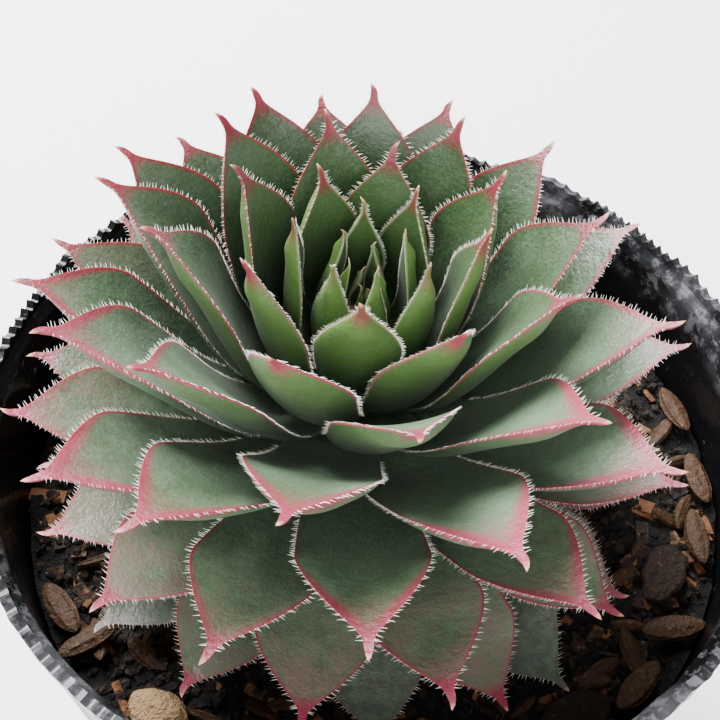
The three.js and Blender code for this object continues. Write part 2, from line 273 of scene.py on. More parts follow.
class Grower(Tree):
    """A geometry node group with named inputs, for one piece."""

    def __init__(self, name: str) -> None:
        """Makes an empty group that takes and gives geometry."""
        super().__init__(bpy.data.node_groups.new(name, "GeometryNodeTree"))
        self.ids: dict[str, str] = {}
        for way in ("INPUT", "OUTPUT"):
            self.nodes.interface.new_socket("Geometry", in_out=way, socket_type="NodeSocketGeometry")
        self.entry = self.nodes.nodes.new("NodeGroupInput")
        self.points = self.entry.outputs[0]

    def size(self, name: str, kind: str = "NodeSocketFloat") -> Wire:
        """Adds a named input to the group and gives its socket."""
        item = self.nodes.interface.new_socket(name, in_out="INPUT", socket_type=kind)
        self.ids[name] = item.identifier
        return Wire(self, next(s for s in self.entry.outputs if s.identifier == item.identifier))

    def first(self, kind: str, sockets: dict, **settings: object) -> bpy.types.NodeSocket:
        """Adds one node and gives its first output."""
        return self.add(kind, settings, sockets).outputs[0]

    def stored(self, name: str, kind: str) -> bpy.types.NodeSocket:
        """The output of a node that reads what the mesh keeps under a name."""
        node = self.add("GeometryNodeInputNamedAttribute", {"data_type": kind}, {"Name": name})
        return self.pick(node.outputs, "Attribute")

    def named(self, name: str) -> Wire:
        """A number kept on the mesh under a name."""
        return Wire(self, self.stored(name, "FLOAT"))

    def arrow(self, name: str) -> Arrow:
        """A vector kept on the mesh under a name."""
        return Arrow(self, self.stored(name, "FLOAT_VECTOR"))

    def place(self) -> Arrow:
        """Each vertex's place."""
        return Arrow(self, self.first("GeometryNodeInputPosition", {}))

    def keep(self, geometry: object, name: str, value: "Wire | Arrow") -> bpy.types.NodeSocket:
        """Stores a value on the mesh under a name."""
        kind = "FLOAT" if isinstance(value, Wire) else "FLOAT_VECTOR"
        sockets = {"Geometry": geometry, "Name": name, "Value": value}
        return self.first("GeometryNodeStoreNamedAttribute", sockets, data_type=kind)

    def random(self, low: object, high: object, seed: int) -> bpy.types.NodeSocket:
        """A random number, or a vector where low is one, for each vertex or instance, with a fixed seed."""
        kind = "FLOAT_VECTOR" if isinstance(low, tuple) else "FLOAT"
        sockets = {"Min": low, "Max": high, "Seed": seed}
        node = self.add("FunctionNodeRandomValue", {"data_type": kind}, sockets)
        return self.pick(node.outputs, "Value")

    def chance(self, low: float, high: float, seed: int) -> Wire:
        """A random number as a wire."""
        return Wire(self, self.random(low, high, seed))

    def close(self, geometry: object, material: bpy.types.Material, smooth: bool) -> None:
        """Ends the group: instances made real, shading and material set."""
        real = self.first("GeometryNodeRealizeInstances", {0: geometry})
        shaded = self.first("GeometryNodeSetShadeSmooth", {"Geometry": real, "Shade Smooth": smooth})
        painted = self.first("GeometryNodeSetMaterial", {"Geometry": shaded, "Material": material})
        self.add("NodeGroupOutput", {}, {0: painted})


def grow(name: str, seeds: bpy.types.Mesh, tree: Grower, sizes: dict[str, object]) -> bpy.types.Object:
    """Runs a geometry node group on a mesh and gives the result as a plain piece.

    Args:
        name: the piece's name.
        seeds: the mesh that the group starts from.
        tree: the group.
        sizes: a value for each named input.

    Returns:
        A linked object at the origin whose mesh is the group's result, with no modifier left.
    """
    holder = link(name + "_seeds", seeds)
    modifier = holder.modifiers.new("grow", "NODES")
    modifier.node_group = tree.nodes
    for key, value in sizes.items():
        modifier[tree.ids[key]] = value
    evaluated = holder.evaluated_get(bpy.context.evaluated_depsgraph_get())
    mesh = bpy.data.meshes.new_from_object(evaluated)
    mesh.name = name
    bpy.data.objects.remove(holder)
    return link(name, mesh)


def point_mesh(name: str, places: list, numbers: dict[str, list], arrows: dict[str, list]) -> bpy.types.Mesh:
    """A mesh of loose vertices that carries named values.

    Args:
        name: the mesh's name.
        places: each vertex's place.
        numbers: a number for each vertex, by name.
        arrows: a vector for each vertex, by name.

    Returns:
        The mesh.
    """
    mesh = bpy.data.meshes.new(name)
    mesh.from_pydata([tuple(p) for p in places], [], [])
    for key, values in numbers.items():
        mesh.attributes.new(key, "FLOAT", "POINT").data.foreach_set("value", np.array(values, np.float32))
    for key, values in arrows.items():
        flat = np.array([tuple(v) for v in values], np.float32).ravel()
        mesh.attributes.new(key, "FLOAT_VECTOR", "POINT").data.foreach_set("vector", flat)
    return mesh


@dataclass(frozen=True)
class Growth:
    """The plant's growth rule, in millimetres and degrees, with heights counted from the pot's rim."""

    rim_height: float = 78
    leaves: int = 90
    turn: float = 137.508
    first_azimuth: float = 31.8
    axis_x: float = -2.5
    lean_x: float = 0.05
    lean_y: float = -0.036
    tip_reach: float = 36.9
    tip_spread: float = 29.9
    tip_shape: float = 1.78
    middle_reach: float = 0.5
    front_pull: float = 0.318
    front_pull_fade: float = 0.38
    centre_height: float = 16.2
    dome_rise: float = 14.6
    dome_age: float = 10.3
    droop: float = 0.459
    droop_age: float = 32.8
    droop_ease: float = 11.3
    side_sag: float = 0.092
    lowest_tip: float = -13
    lowest_tip_spread: float = 0.8
    lift_reach: float = 0.3
    crown_radius: float = 10
    crown_tip_radius: float = 0.6
    crown_age: float = 28
    crown_top: float = 12
    crown_drop: float = 25.5
    crown_shape: float = 0.9
    stem_radius: float = 6
    leaf_width: float = 11.8
    leaf_least_width: float = 1.2
    width_age: float = 13
    width_spread: float = 0.12
    leaf_thickness: float = 2.5
    leaf_least_thickness: float = 0.9
    thickness_age: float = 14
    root_rise: float = 64
    root_fall: float = 8
    root_rise_age: float = 33
    tip_rise: float = 76
    tip_rise_age: float = 24
    tip_rise_shape: float = 2.6
    tip_rise_spread: float = 12
    tip_curl: float = 6
    taper: float = 0.34
    young_taper: float = 0.5
    taper_age: float = 14

    @staticmethod
    def grown(n: float, age: float, shape: float = 1) -> float:
        """Share of its full size that something reaches by leaf n, given the age that sets its pace."""
        return 1 - math.exp(-((n / age) ** shape))

    def lean(self, x: float, y: float, z: float) -> Vector:
        """Places a point given about the upright axis on the plant's own leaning axis."""
        return Vector((
            x + self.lean_x * z + self.axis_x,
            y + self.lean_y * z,
            z - self.lean_x * x - self.lean_y * y + self.rim_height,
        ))

    def crown_point(self, n: float) -> tuple[float, float]:
        """Radius and height of the crown where leaf n grows: the youngest is at the top."""
        radius = self.crown_radius * self.grown(n, self.crown_age) + self.crown_tip_radius
        return radius, self.crown_top - self.crown_drop * (n / self.leaves) ** self.crown_shape

    def tip(self, n: int, out: Vector) -> tuple[float, float]:
        """Reach and height of the tip of leaf n, which points along out."""
        spread = self.tip_reach * self.grown(n, self.tip_spread, self.tip_shape) + self.middle_reach
        reach = spread * (1 - (self.front_pull - self.front_pull_fade * n / self.leaves) * out.y)
        past = n - self.droop_age
        height = self.centre_height + self.dome_rise * self.grown(n, self.dome_age)
        height -= self.droop * (past + math.hypot(past, self.droop_ease))
        height -= self.side_sag * reach * out.x * n / self.leaves
        lift = max(0, self.lowest_tip + self.lowest_tip_spread * draw(n, 1) - height)
        return reach + self.lift_reach * lift, height + lift


class Leaf:
    """Where one leaf grows, how large it is and how its midrib bends."""

    def __init__(self, growth: Growth, n: int) -> None:
        """Works out leaf n, counted outwards from the youngest."""
        azimuth = math.radians(growth.first_azimuth - growth.turn * n)
        self.n = n
        self.out = Vector((math.cos(azimuth), math.sin(azimuth), 0))
        self.sideways = Vector((-self.out.y, self.out.x, 0))
        radius, height = growth.crown_point(n)
        self.root = growth.lean(radius * self.out.x, radius * self.out.y, height)
        reach, top = growth.tip(n, self.out)
        self.tip = growth.lean(reach * self.out.x, reach * self.out.y, top)
        spread = 1 + growth.width_spread * (draw(n, 2) - 0.5)
        full = (growth.leaf_width - growth.leaf_least_width) * spread
        self.width = growth.leaf_least_width + full * growth.grown(n, growth.width_age, 2)
        least = growth.leaf_least_thickness
        self.thickness = least + (growth.leaf_thickness - least) * growth.grown(n, growth.thickness_age)
        root_rise = growth.root_rise * math.exp(-n / growth.root_rise_age) - growth.root_fall
        tip_rise = growth.tip_rise / (1 + (n / growth.tip_rise_age) ** growth.tip_rise_shape)
        tip_rise += growth.tip_curl + growth.tip_rise_spread * (draw(n, 3) - 0.5)
        self.taper = growth.taper + growth.young_taper * math.exp(-n / growth.taper_age)
        third = (self.tip - self.root).length / 3
        self.root_pull = self.root + self.rising(root_rise) * third
        self.tip_pull = self.tip - self.rising(tip_rise) * third

    def rising(self, degrees: float) -> Vector:
        """The outward direction at an angle above the horizon."""
        angle = math.radians(degrees)
        return self.out * math.cos(angle) + Vector((0, 0, math.sin(angle)))


class SkinPoint(NamedTuple):
    """A point of a leaf's skin: its place in metres, three directions, and two lengths in millimetres."""

    place: Arrow
    along: Arrow
    side: Arrow
    face: Arrow
    half: Wire
    sunk: Wire


@dataclass(frozen=True)
class BladeShape:
    """Outline and section of every leaf: places along it from 0 to 1, and shares of its width."""

    foot_share: float = 0.75
    widest: float = 0.66
    mucro_share: float = 0.12
    mucro_radius: float = 0.4
    mucro_shape: float = 0.65
    mucro_depth: float = 1.2
    full_width: float = 11.8
    slight_shape: float = 0.6
    fillet: float = 0.2
    shoulder: float = 1.7
    young_shoulder: float = 1.1
    cup: float = 0.16
    cup_at_root: float = 0.15
    root_thickening: float = 1.05
    tip_thinning: float = 0.35
    thin_start: float = 0.74
    thin_end: float = 0.97
    keel: float = 1.2
    pillow: float = 0.35
    pillow_start: tuple = (0.1, 0.4)
    pillow_end: tuple = (0.85, 0.6)

    def lay(self, tree: Grower, t: Wire, u: Wire, under: "Wire | float") -> SkinPoint:
        """Adds the nodes that place a point of a leaf's skin.

        Args:
            tree: the group that the nodes go into; its mesh carries each leaf's own values.
            t: place along the leaf, 0 at the root and 1 at the tip.
            u: place across it, -1 to 1.
            under: how far the point stands under the upper face, 0 to 1 of the depth.

        Returns:
            The point's place, the directions along, across and out of the face, the blade's half
            width, and how far the point stands under the upper face.
        """
        width = tree.named("width")
        root, root_pull, tip_pull, tip, sideways = (
            tree.arrow(key) for key in ("root", "root_pull", "tip_pull", "tip", "sideways"))
        past = 1.0 - t
        rib = root * past ** 3 + root_pull * (3 * past * past * t)
        rib = rib + tip_pull * (3 * past * t * t) + tip * t ** 3
        along = (root_pull - root) * (past * past) + (tip_pull - root_pull) * (2 * past * t)
        along = (along + (tip - tip_pull) * (t * t)).unit()
        side = (sideways - along * sideways.dot(along)).unit()
        face = along.cross(side)
        ahead = t.most(0.0)
        growth = ((ahead / self.widest).least(1.0) * (math.pi / 2)).func("SINE")
        taper_left = past / tree.named("taper")
        left = taper_left.between(self.mucro_share, 1, smooth=False)
        eased = left * left * (1 + self.fillet) / (left + self.fillet)
        slight = (width / self.full_width) ** self.slight_shape
        shoulder = self.young_shoulder + (self.shoulder - self.young_shoulder) * slight
        rounded = 1.0 - (1.0 - eased).most(0.0) ** shoulder
        outline = (growth * (1 - self.foot_share) + self.foot_share) * rounded * width / 2
        mucro = taper_left.between(0, self.mucro_share, smooth=False)
        point = self.mucro_radius * slight * mucro ** self.mucro_shape
        half = (outline * outline + point * point).func("SQRT")
        across = 2 * u * half / width
        upper = self.cup * width * (self.cup_at_root + (1 - self.cup_at_root) * ahead) * across * across
        swell = (1.0 - u * u) * t.between(*self.pillow_start) * t.between(*self.pillow_end)
        upper = upper + self.pillow * swell
        thin = (self.root_thickening - self.tip_thinning * t) * t.between(self.thin_end, self.thin_start)
        body = tree.named("thickness") * thin
        sunk = (body * body + self.mucro_depth ** 2 * point * point).func("SQRT") * under
        bend = (1.0 - mucro) ** 2 * tree.named("hook")
        place = rib + side * (u * half + bend) + face * (upper - sunk)
        return SkinPoint(place * MM, along, side, face, half, sunk)


class Finish(Enum):
    """The material slots of the record, one given with each piece."""

    POT = "pot_plastic"
    SOIL = "soil"
    LEAF = "leaf"
    HUSK = "husk"
    BARK = "bark"
    PEBBLE = "pebble"


class Paint(Tree):
    """A material's shader tree with its Principled BSDF."""

    def __init__(self, name: str, roughness: float, constants: dict[str, float] | None = None) -> None:
        """Makes the material; constants are set on the shader's own sockets."""
        self.material = bpy.data.materials.new(name)
        self.material.use_nodes = True
        super().__init__(self.material.node_tree)
        self.shader = self.nodes.nodes["Principled BSDF"]
        self.shader.inputs["Roughness"].default_value = roughness
        for key, value in (constants or {}).items():
            self.shader.inputs[key].default_value = value

    def named(self, name: str) -> Wire:
        """A number kept on the mesh under a name."""
        node = self.add("ShaderNodeAttribute", {"attribute_name": name})
        return Wire(self, node.outputs["Fac"])

    def spot(self) -> Arrow:
        """Places in the piece's own coordinates."""
        return Arrow(self, self.add("ShaderNodeTexCoord").outputs["Object"])

    def noise(self, scale: float, detail: float = 3, **more: float) -> Wire:
        """Noise on the piece's own coordinates, with its scale in cycles per metre."""
        sockets = {"Vector": self.spot(), "Scale": scale, "Detail": detail, **more}
        return Wire(self, self.add("ShaderNodeTexNoise", {}, sockets).outputs[0])

    def coated(self, base: object, coats: list[tuple]) -> object:
        """A colour under coats laid on in turn, each given as its share and its colour."""
        for share, tint in coats:
            base = self.mix(share, base, tint)
        return base

    def colour(self, value: object) -> None:
        """Sets what the surface's colour is made from."""
        self.feed(self.shader.inputs["Base Color"], value)

    def rough(self, value: Wire) -> None:
        """Sets what the surface's roughness is made from."""
        self.feed(self.shader.inputs["Roughness"], value)

    def bump(self, height: Wire, distance: float, strength: float = 1.0) -> None:
        """Raises the surface by a height of up to distance metres."""
        node = self.add("ShaderNodeBump", {}, {"Height": height, "Distance": distance, "Strength": strength})
        self.feed(self.shader.inputs["Normal"], node.outputs[0])


@dataclass(frozen=True)
class LeafFinish:
    """Green leaf skin with a bloom that is partly painted sheen, painted shade at the bases, rosy margins
    and a rosy point.

    Noise is in cycles per metre. Leaves on the camera's side, towards -Y, have more pink, less painted shade
    and painted light over their bloom; leaves away from it have more painted shade.
    """

    young: tuple = linear(54, 82, 36)
    green: tuple = linear(52, 76, 44)
    # Dark green, laid on as painted shade and as the leaf's own dark mottle
    deep: tuple = linear(16, 30, 16)
    # Pale grey-green of the bloom, partly a painted sheen of the sky's reflection
    bloom_and_painted_sheen: tuple = linear(112, 134, 110)
    old: tuple = linear(128, 108, 98)
    pale: tuple = linear(74, 84, 74)
    under: tuple = linear(80, 112, 52)
    light: tuple = linear(190, 204, 160)
    rose: tuple = linear(116, 4, 38)
    blush: tuple = linear(170, 40, 86)
    point: tuple = linear(220, 164, 134)
    fleck: tuple = linear(226, 230, 220)
    broad_cycles: float = 70
    patch_cycles: float = 170
    mottle_cycles: float = 900
    fine_cycles: float = 2300
    speck_cycles: float = 4200
    front_range: tuple = (0.012, -0.022)
    relief: float = 0.0003
    relief_strength: float = 0.6

    def build(self) -> bpy.types.Material:
        """Makes the material."""
        paint = Paint("leaf_skin", 0.5, {"Subsurface Weight": 0.1, "Subsurface Scale": 0.0012,
                                         "Sheen Weight": 0.05, "Sheen Roughness": 0.4})
        t, age, luck, margin, left = (paint.named(key) for key in ("t", "age", "luck", "margin", "left"))
        under = paint.named("under").between(0.0, 0.15)
        patch = paint.noise(self.patch_cycles, 4, Roughness=0.6)
        broad = paint.noise(self.broad_cycles, 3, Roughness=0.55)
        fine = paint.noise(self.fine_cycles, 3, Roughness=0.7)
        speck = paint.noise(self.speck_cycles, 2)
        mottle = paint.noise(self.mottle_cycles, 4, Roughness=0.75).between(0.42, 0.6)
        _, depth, _ = paint.spot().parts()
        front = depth.between(*self.front_range)

        # Greens, from the heart outwards: painted shade at the bases, in patches and away from the camera;
        # bloom over them, partly painted sheen and painted light
        shade = t.between(0.8, 0.3) * (0.64 - 0.7 * age)
        shade = shade + patch.between(0.4, 0.7) * t.between(1.0, 0.55) * 0.4
        shade = (shade + 0.3 * (1.0 - front) * age.between(0.15, 0.3)).least(0.85)
        # Bloom in patches, with painted light added on the camera's side and on the bases of the leaves
        # towards it
        bloom_and_painted_light = (0.2 * fine + 0.8 * broad).between(0.36, 0.66) * (1.0 - 0.5 * under) * age.between(0.02, 0.3)
        bloom_and_painted_light = bloom_and_painted_light * (0.12 + 0.2 * t + 0.2 * front)
        bloom_and_painted_light = bloom_and_painted_light + front * (0.52 - 0.38 * t) * age.between(0.2, 0.36) * (1.0 - under)
        velvet = fine.between(0.45, 0.75) * (1.0 - 0.6 * under) * age.between(0.1, 0.4)
        dusky = age.between(0.5, 0.72) * t.between(0.38, 0.85) * (0.45 + 0.55 * luck)
        skin = paint.coated(self.young, [
            (age.between(0.1, 0.34), self.green),
            # painted shade, less towards the camera
            (shade * (1.0 - 0.35 * front), self.deep),
            # bloom with painted sheen and painted light
            (bloom_and_painted_light, self.bloom_and_painted_sheen),
            (velvet * 0.16, self.bloom_and_painted_sheen),
            (mottle * age.between(0.35, 0.6) * 0.3, self.deep),
            (dusky * patch.between(0.3, 0.56) * (0.5 + 0.5 * mottle), self.old),
            (age.between(0.84, 0.93) * (0.35 + 0.6 * mottle), self.pale),
            (under * age.between(0.42, 0.1) * t.between(0.2, 0.8), self.under),
            (margin.between(0.3, 0.03) * age.between(0.5, 0.1) * 0.4, self.light),
        ])

        # Pinks: a zone along the margins, a thin line on them, a flush towards the tip and the point
        ripe = age.between(0.12, 0.34) * age.between(0.74, 0.55)
        reach = left.between(1.05, 0.3) * age.between(0.25, 0.42) * (0.5 + 0.7 * luck)
        reach = (0.3 + 2.4 * reach * (0.2 + 0.8 * front)) * (1.0 - 0.55 * under)
        zone = (1.0 - margin / (1.35 * reach)).between(0.0, 0.95) * left.between(1.2, 0.6) * ripe
        zone = zone * (0.7 + 0.5 * broad)
        line = margin.between(0.34, 0.12) * t.between(0.3, 0.6)
        line = line * age.between(0.1, 0.25) * age.between(0.99, 0.8)
        flush = left.between(0.75, 0.2) * age.between(0.3, 0.42) * age.between(0.75, 0.55)
        flush = flush * (0.4 + 0.5 * luck) * (0.12 + 0.6 * front)
        mucro = left.between(0.4, 0.2) * age.between(0.06, 0.2) * age.between(0.97, 0.86)
        rosy = zone.most(line).most(flush).most(mucro) * (0.7 + 0.3 * fine)
        pallor = (fine.between(0.35, 0.7) * 0.3 + 0.3 * luck + 0.2) * front
        paint.colour(paint.coated(skin, [
            (rosy, paint.mix(pallor, self.rose, self.blush)),
            (left.between(0.08, 0.02) * age.between(0.4, 0.1).most(0.6), self.point),
            (speck.between(0.74, 0.8) * 0.4, self.fleck),
        ]))
        paint.rough(0.26 + 0.2 * fine + 0.1 * under)
        relief = 0.5 * fine + 0.2 * speck + 2.4 * patch + 2.0 * broad
        paint.bump(relief, self.relief, self.relief_strength)
        return paint.material


@dataclass(frozen=True)
class HairFinish:
    """Clear white hairs."""

    tint: tuple = linear(240, 240, 228)
    shade: tuple = linear(214, 206, 196)

    def build(self) -> bpy.types.Material:
        """Makes the material."""
        paint = Paint("margin_hair", 0.35)
        paint.colour(paint.mix(paint.noise(300, 2) * 0.3, self.tint, self.shade))
        return paint.material


@dataclass(frozen=True)
class PotFinish:
    """Thin black plastic, glossy, with dust, splashes, fine ripples and a painted reflection on the lip as a
    speckled grey band; heights in metres.
    """

    tint: tuple = linear(13, 13, 15)
    dust: tuple = linear(110, 106, 102)
    # Grey of a painted reflection on the lip
    painted_reflection: tuple = linear(104, 105, 110)
    reflection_height: tuple = (0.069, 0.0725)
    coat_height: tuple = (0.064, 0.07)
    coat: float = 0.25
    crumple_height: tuple = (0.045, 0.072)
    relief: float = 0.0008

    def build(self) -> bpy.types.Material:
        """Makes the material."""
        paint = Paint("pot_plastic", 0.25, {"Specular IOR Level": 0.13})
        broad = paint.noise(90, 3)
        streak = paint.noise(1300, 3).between(0.64, 0.74) * broad.between(0.45, 0.65)
        x, y, height = paint.spot().parts()
        # A painted reflection: a speckled grey band on the lip, on the right and the front
        reflecting_sides = x.between(0.0, 0.025).most(y.between(-0.012, -0.03) * 0.8)
        speckle = paint.noise(520, 4, Roughness=0.75).between(0.48, 0.64)
        painted_reflection = reflecting_sides * height.between(*self.reflection_height) * (0.3 * broad.between(0.42, 0.6) + 0.6 * speckle)
        paint.colour(paint.coated(self.tint, [(painted_reflection, self.painted_reflection), (streak * 0.7, self.dust)]))
        paint.rough(0.2 + 0.16 * broad + 0.4 * streak)
        paint.feed(paint.shader.inputs["Coat Weight"], height.between(*self.coat_height) * self.coat)
        crumple = height.between(*self.crumple_height) * 0.85 + 0.15
        paint.bump((paint.noise(190, 3) + 0.3 * paint.noise(700, 2)) * crumple, self.relief, 0.5)
        return paint.material


@dataclass(frozen=True)
class SpeckledFinish:
    """A rough natural finish: two tones in patches, grains of a third and a raised grain."""

    name: str
    dark: tuple
    bright: tuple
    grain: tuple
    cycles: float
    roughness: float = 0.8
    relief: float = 0.0005

    def build(self) -> bpy.types.Material:
        """Makes the material."""
        paint = Paint(self.name, self.roughness, {"Specular IOR Level": 0.25})
        dark, bright, grain = (linear(*colour) for colour in (self.dark, self.bright, self.grain))
        tone = paint.noise(self.cycles, 5, Roughness=0.7)
        grit = paint.noise(self.cycles * 4, 3, Roughness=0.6)
        patch = (tone + 0.5 * (paint.named("chance") - 0.5)).between(0.4, 0.66)
        paint.colour(paint.coated(dark, [(patch, bright), (grit.between(0.6, 0.7) * 0.5, grain)]))
        paint.rough(self.roughness - 0.2 * grit)
        paint.bump(grit + tone, self.relief)
        return paint.material


SOIL = SpeckledFinish("soil_mix", (11, 9, 8), (30, 24, 19), (62, 50, 38), 420, 0.9, 0.0006)
CRUMB = SpeckledFinish("soil_crumb", (10, 8, 7), (38, 29, 22), (72, 56, 40), 300, 0.9, 0.0004)
SHARD = SpeckledFinish("bark_shard", (30, 20, 14), (104, 68, 40), (142, 104, 66), 260, 0.8, 0.0003)
HUSK = SpeckledFinish("rice_husk", (58, 38, 22), (146, 104, 62), (122, 86, 52), 340, 0.7, 0.0003)
BARK = SpeckledFinish("bark", (36, 24, 16), (104, 70, 44), (84, 58, 38), 300, 0.85, 0.0005)
STONE = SpeckledFinish("tan_stone", (150, 122, 88), (208, 184, 144), (104, 78, 52), 380, 0.85, 0.0006)


def closed_skin(name: str, rings: np.ndarray, first: tuple, last: tuple,
                crease: float = 35) -> bpy.types.Mesh:
    """A closed mesh over rings of points, with a pole at either end.

    Args:
        name: the mesh's name.
        rings: points in millimetres, as rings by points by 3.
        first: the pole before the first ring.
        last: the pole after the last ring.
        crease: the angle in degrees from which an edge is shaded sharp.

    Returns:
        The mesh in metres, with its faces outwards.
    """
    count, sides, _ = rings.shape
    points = np.vstack([rings.reshape(-1, 3), [first, last]]) * MM
    index = np.arange(count * sides).reshape(count, sides)
    ahead = np.roll(index, -1, axis=1)
    quads = np.stack([index[:-1], ahead[:-1], ahead[1:], index[1:]], axis=-1).reshape(-1, 4).tolist()
    fans = [(count * sides, b, a) for a, b in zip(index[0].tolist(), ahead[0].tolist())]
    fans += [(count * sides + 1, a, b) for a, b in zip(index[-1].tolist(), ahead[-1].tolist())]
    mesh = bpy.data.meshes.new(name)
    mesh.from_pydata(points.tolist(), [], quads + fans)
    draft = bmesh.new()
    draft.from_mesh(mesh)
    bmesh.ops.recalc_face_normals(draft, faces=draft.faces)
    draft.to_mesh(mesh)
    draft.free()
    mesh.shade_smooth()
    mesh.set_sharp_from_angle(angle=math.radians(crease))
    return mesh


def add_piece(name: str, mesh: bpy.types.Mesh, material: bpy.types.Material) -> bpy.types.Object:
    """Links a mesh as a piece with one material."""
    mesh.materials.clear()
    mesh.materials.append(material)
    return link(name, mesh)


def joined(name: str, meshes: list[bpy.types.Mesh]) -> bpy.types.Mesh:
    """One mesh of several, which are then removed."""
    draft = bmesh.new()
    for mesh in meshes:
        draft.from_mesh(mesh)
        bpy.data.meshes.remove(mesh)
    whole = bpy.data.meshes.new(name)
    draft.to_mesh(whole)
    draft.free()
    return whole


def turned(profile: list[tuple[float, float]], sides: int) -> np.ndarray:
    """Rings of points for a profile of (radius, height) pairs turned about Z."""
    angle = np.arange(sides) / sides * 2 * math.pi
    circle = np.stack([np.cos(angle), np.sin(angle)], axis=-1)
    return np.array([np.column_stack([radius * circle, np.full(sides, height)])
                     for radius, height in profile])


@dataclass
class Pot:
    """The thin nursery pot: tapered body, upright collar and a crinkled lip with a torn edge."""

    rim_radius: float = 45
    rim_height: float = 78
    base_radius: float = 31
    wall: float = 1
    lip_height: float = 3
    lip_step: float = 0.8
    lip_bevel: float = 0.3
    lip_flare: float = 0.2
    collar_base: float = 59
    collar_step: float = 0.9
    floor: float = 1.4
    torn: float = 2
    nick: float = 0.16
    tooth: float = 0.95
    teeth: int = 170
    crinkle: float = 0.15
    crinkle_depth: float = 13
    holes: int = 8
    hole_radius: float = 3
    hole_circle: float = 22
    hole_sides: int = 24
    sides: int = 1020

    def profile(self) -> list[tuple[float, float]]:
        """Radius and height from under the floor, up the outside and down the inside."""
        collar = self.rim_radius - self.lip_step
        body = collar - self.collar_step
        inner = self.rim_radius - self.wall
        inside = inner - self.lip_step
        lip = self.rim_height - self.lip_height
        under_lip = lip - self.lip_bevel
        tear = self.rim_height - self.torn
        steps = [lip - self.crinkle_depth * share for share in (0.8, 0.5, 0.25, 0.1)]
        return [
            (self.base_radius - 1, 0), (self.base_radius, 1),
            (body, self.collar_base - 1), (collar, self.collar_base),
            *[(collar, height) for height in steps],
            (collar, under_lip), (collar + self.lip_flare, lip), (self.rim_radius, lip + self.lip_step),
            (self.rim_radius, tear), (self.rim_radius, self.rim_height),
            (inner, self.rim_height), (inner, tear),
            (inner, lip + self.lip_step), (inside + self.lip_flare, lip), (inside, under_lip),
            *[(inside, height) for height in reversed(steps)],
            (collar - self.wall, self.collar_base), (body - self.wall, self.collar_base - 1),
            (self.base_radius - self.wall, self.floor),
        ]

    def warp(self, rings: np.ndarray) -> np.ndarray:
        """Crinkles the upper wall and tears the top edge."""
        x, y, z = np.moveaxis(rings, -1, 0)
        angle = np.arctan2(y, x)
        share = np.clip((z - self.rim_height + self.crinkle_depth) / self.crinkle_depth, 0, 1)
        drift = 2.5 * np.sin(7 * angle) + 1.5 * np.sin(11 * angle + z)
        wave = np.sin(29 * angle + drift) + 0.8 * np.sin(61 * angle - drift + z)
        wave = wave + 0.6 * np.sin(113 * angle + 2 * drift)
        uneven = 0.6 + 0.5 * np.sin(7 * angle + 1) * np.sin(4 * angle + 2 * np.sin(3 * angle))
        swell = 1 + self.crinkle * share ** 2 * uneven * (wave / 2.4) / self.rim_radius
        top = z > self.rim_height - 0.5
        nick = self.nick * (np.sin(11 * angle + 1.1) + np.sin(23 * angle + 0.4) + np.sin(37 * angle) + 3)
        tooth = self.tooth * np.abs(np.sin(self.teeth / 2 * angle + 2.5 * np.sin(9 * angle))) ** 0.8
        tooth *= 0.65 + 0.35 * np.sin(13 * angle + 2 * np.sin(5 * angle))
        return np.stack([x * swell, y * swell, z - top * (nick + tooth)], axis=-1)

    def build(self) -> None:
        """Makes the shell, cuts its drain holes and ties it to its solid."""
        rings = self.warp(turned(self.profile(), self.sides))
        mesh = closed_skin("pot_shell", rings, (0, 0, 0), (0, 0, self.floor))
        shell = add_piece("pot_shell", mesh, PotFinish().build())
        draft = bmesh.new()
        for i in range(self.holes):
            angle = (i + 0.5) / self.holes * 2 * math.pi
            spot = Vector((self.hole_circle * math.cos(angle), self.hole_circle * math.sin(angle), 0)) * MM
            radius = self.hole_radius * MM
            bmesh.ops.create_cone(
                draft, cap_ends=True, segments=self.hole_sides, radius1=radius, radius2=radius,
                depth=4 * self.floor * MM, matrix=Matrix.Translation(spot))
        drills = bpy.data.meshes.new("drills")
        draft.to_mesh(drills)
        draft.free()
        cutter = add_piece("drills", drills, mesh.materials[0])
        cut = shell.modifiers.new("holes", "BOOLEAN")
        cut.object = cutter
        holed = bpy.data.meshes.new_from_object(shell.evaluated_get(bpy.context.evaluated_depsgraph_get()))
        shell.modifiers.clear()
        shell.data = holed
        bpy.data.objects.remove(cutter)
        attach(shell, Finish.POT, "pot")


@dataclass(frozen=True)
class Grains:
    """Small bits strewn over the soil: how many to a square metre, how long, and how they are turned."""

    name: str
    finish: SpeckledFinish
    slot: Finish
    density: float
    size: float
    shape: str
    shape_sizes: dict
    turn_low: tuple
    turn_high: tuple
    seed: int


# How far copies are turned about their own axes, in radians
ANY_TURN = 6.283
FLAT_TILT = 0.35
CRUMBS = Grains("soil_crumbs", CRUMB, Finish.SOIL, 620000, 2.1, "GeometryNodeMeshIcoSphere",
                {"Radius": 0.5, "Subdivisions": 1}, (0, 0, 0), (ANY_TURN, ANY_TURN, ANY_TURN), 4)
SHARDS = Grains("bark_shards", SHARD, Finish.BARK, 110000, 6, "GeometryNodeMeshCube",
                {"Size": (1.0, 0.28, 0.1)}, (-FLAT_TILT, -FLAT_TILT, 0), (FLAT_TILT, FLAT_TILT, ANY_TURN), 7)


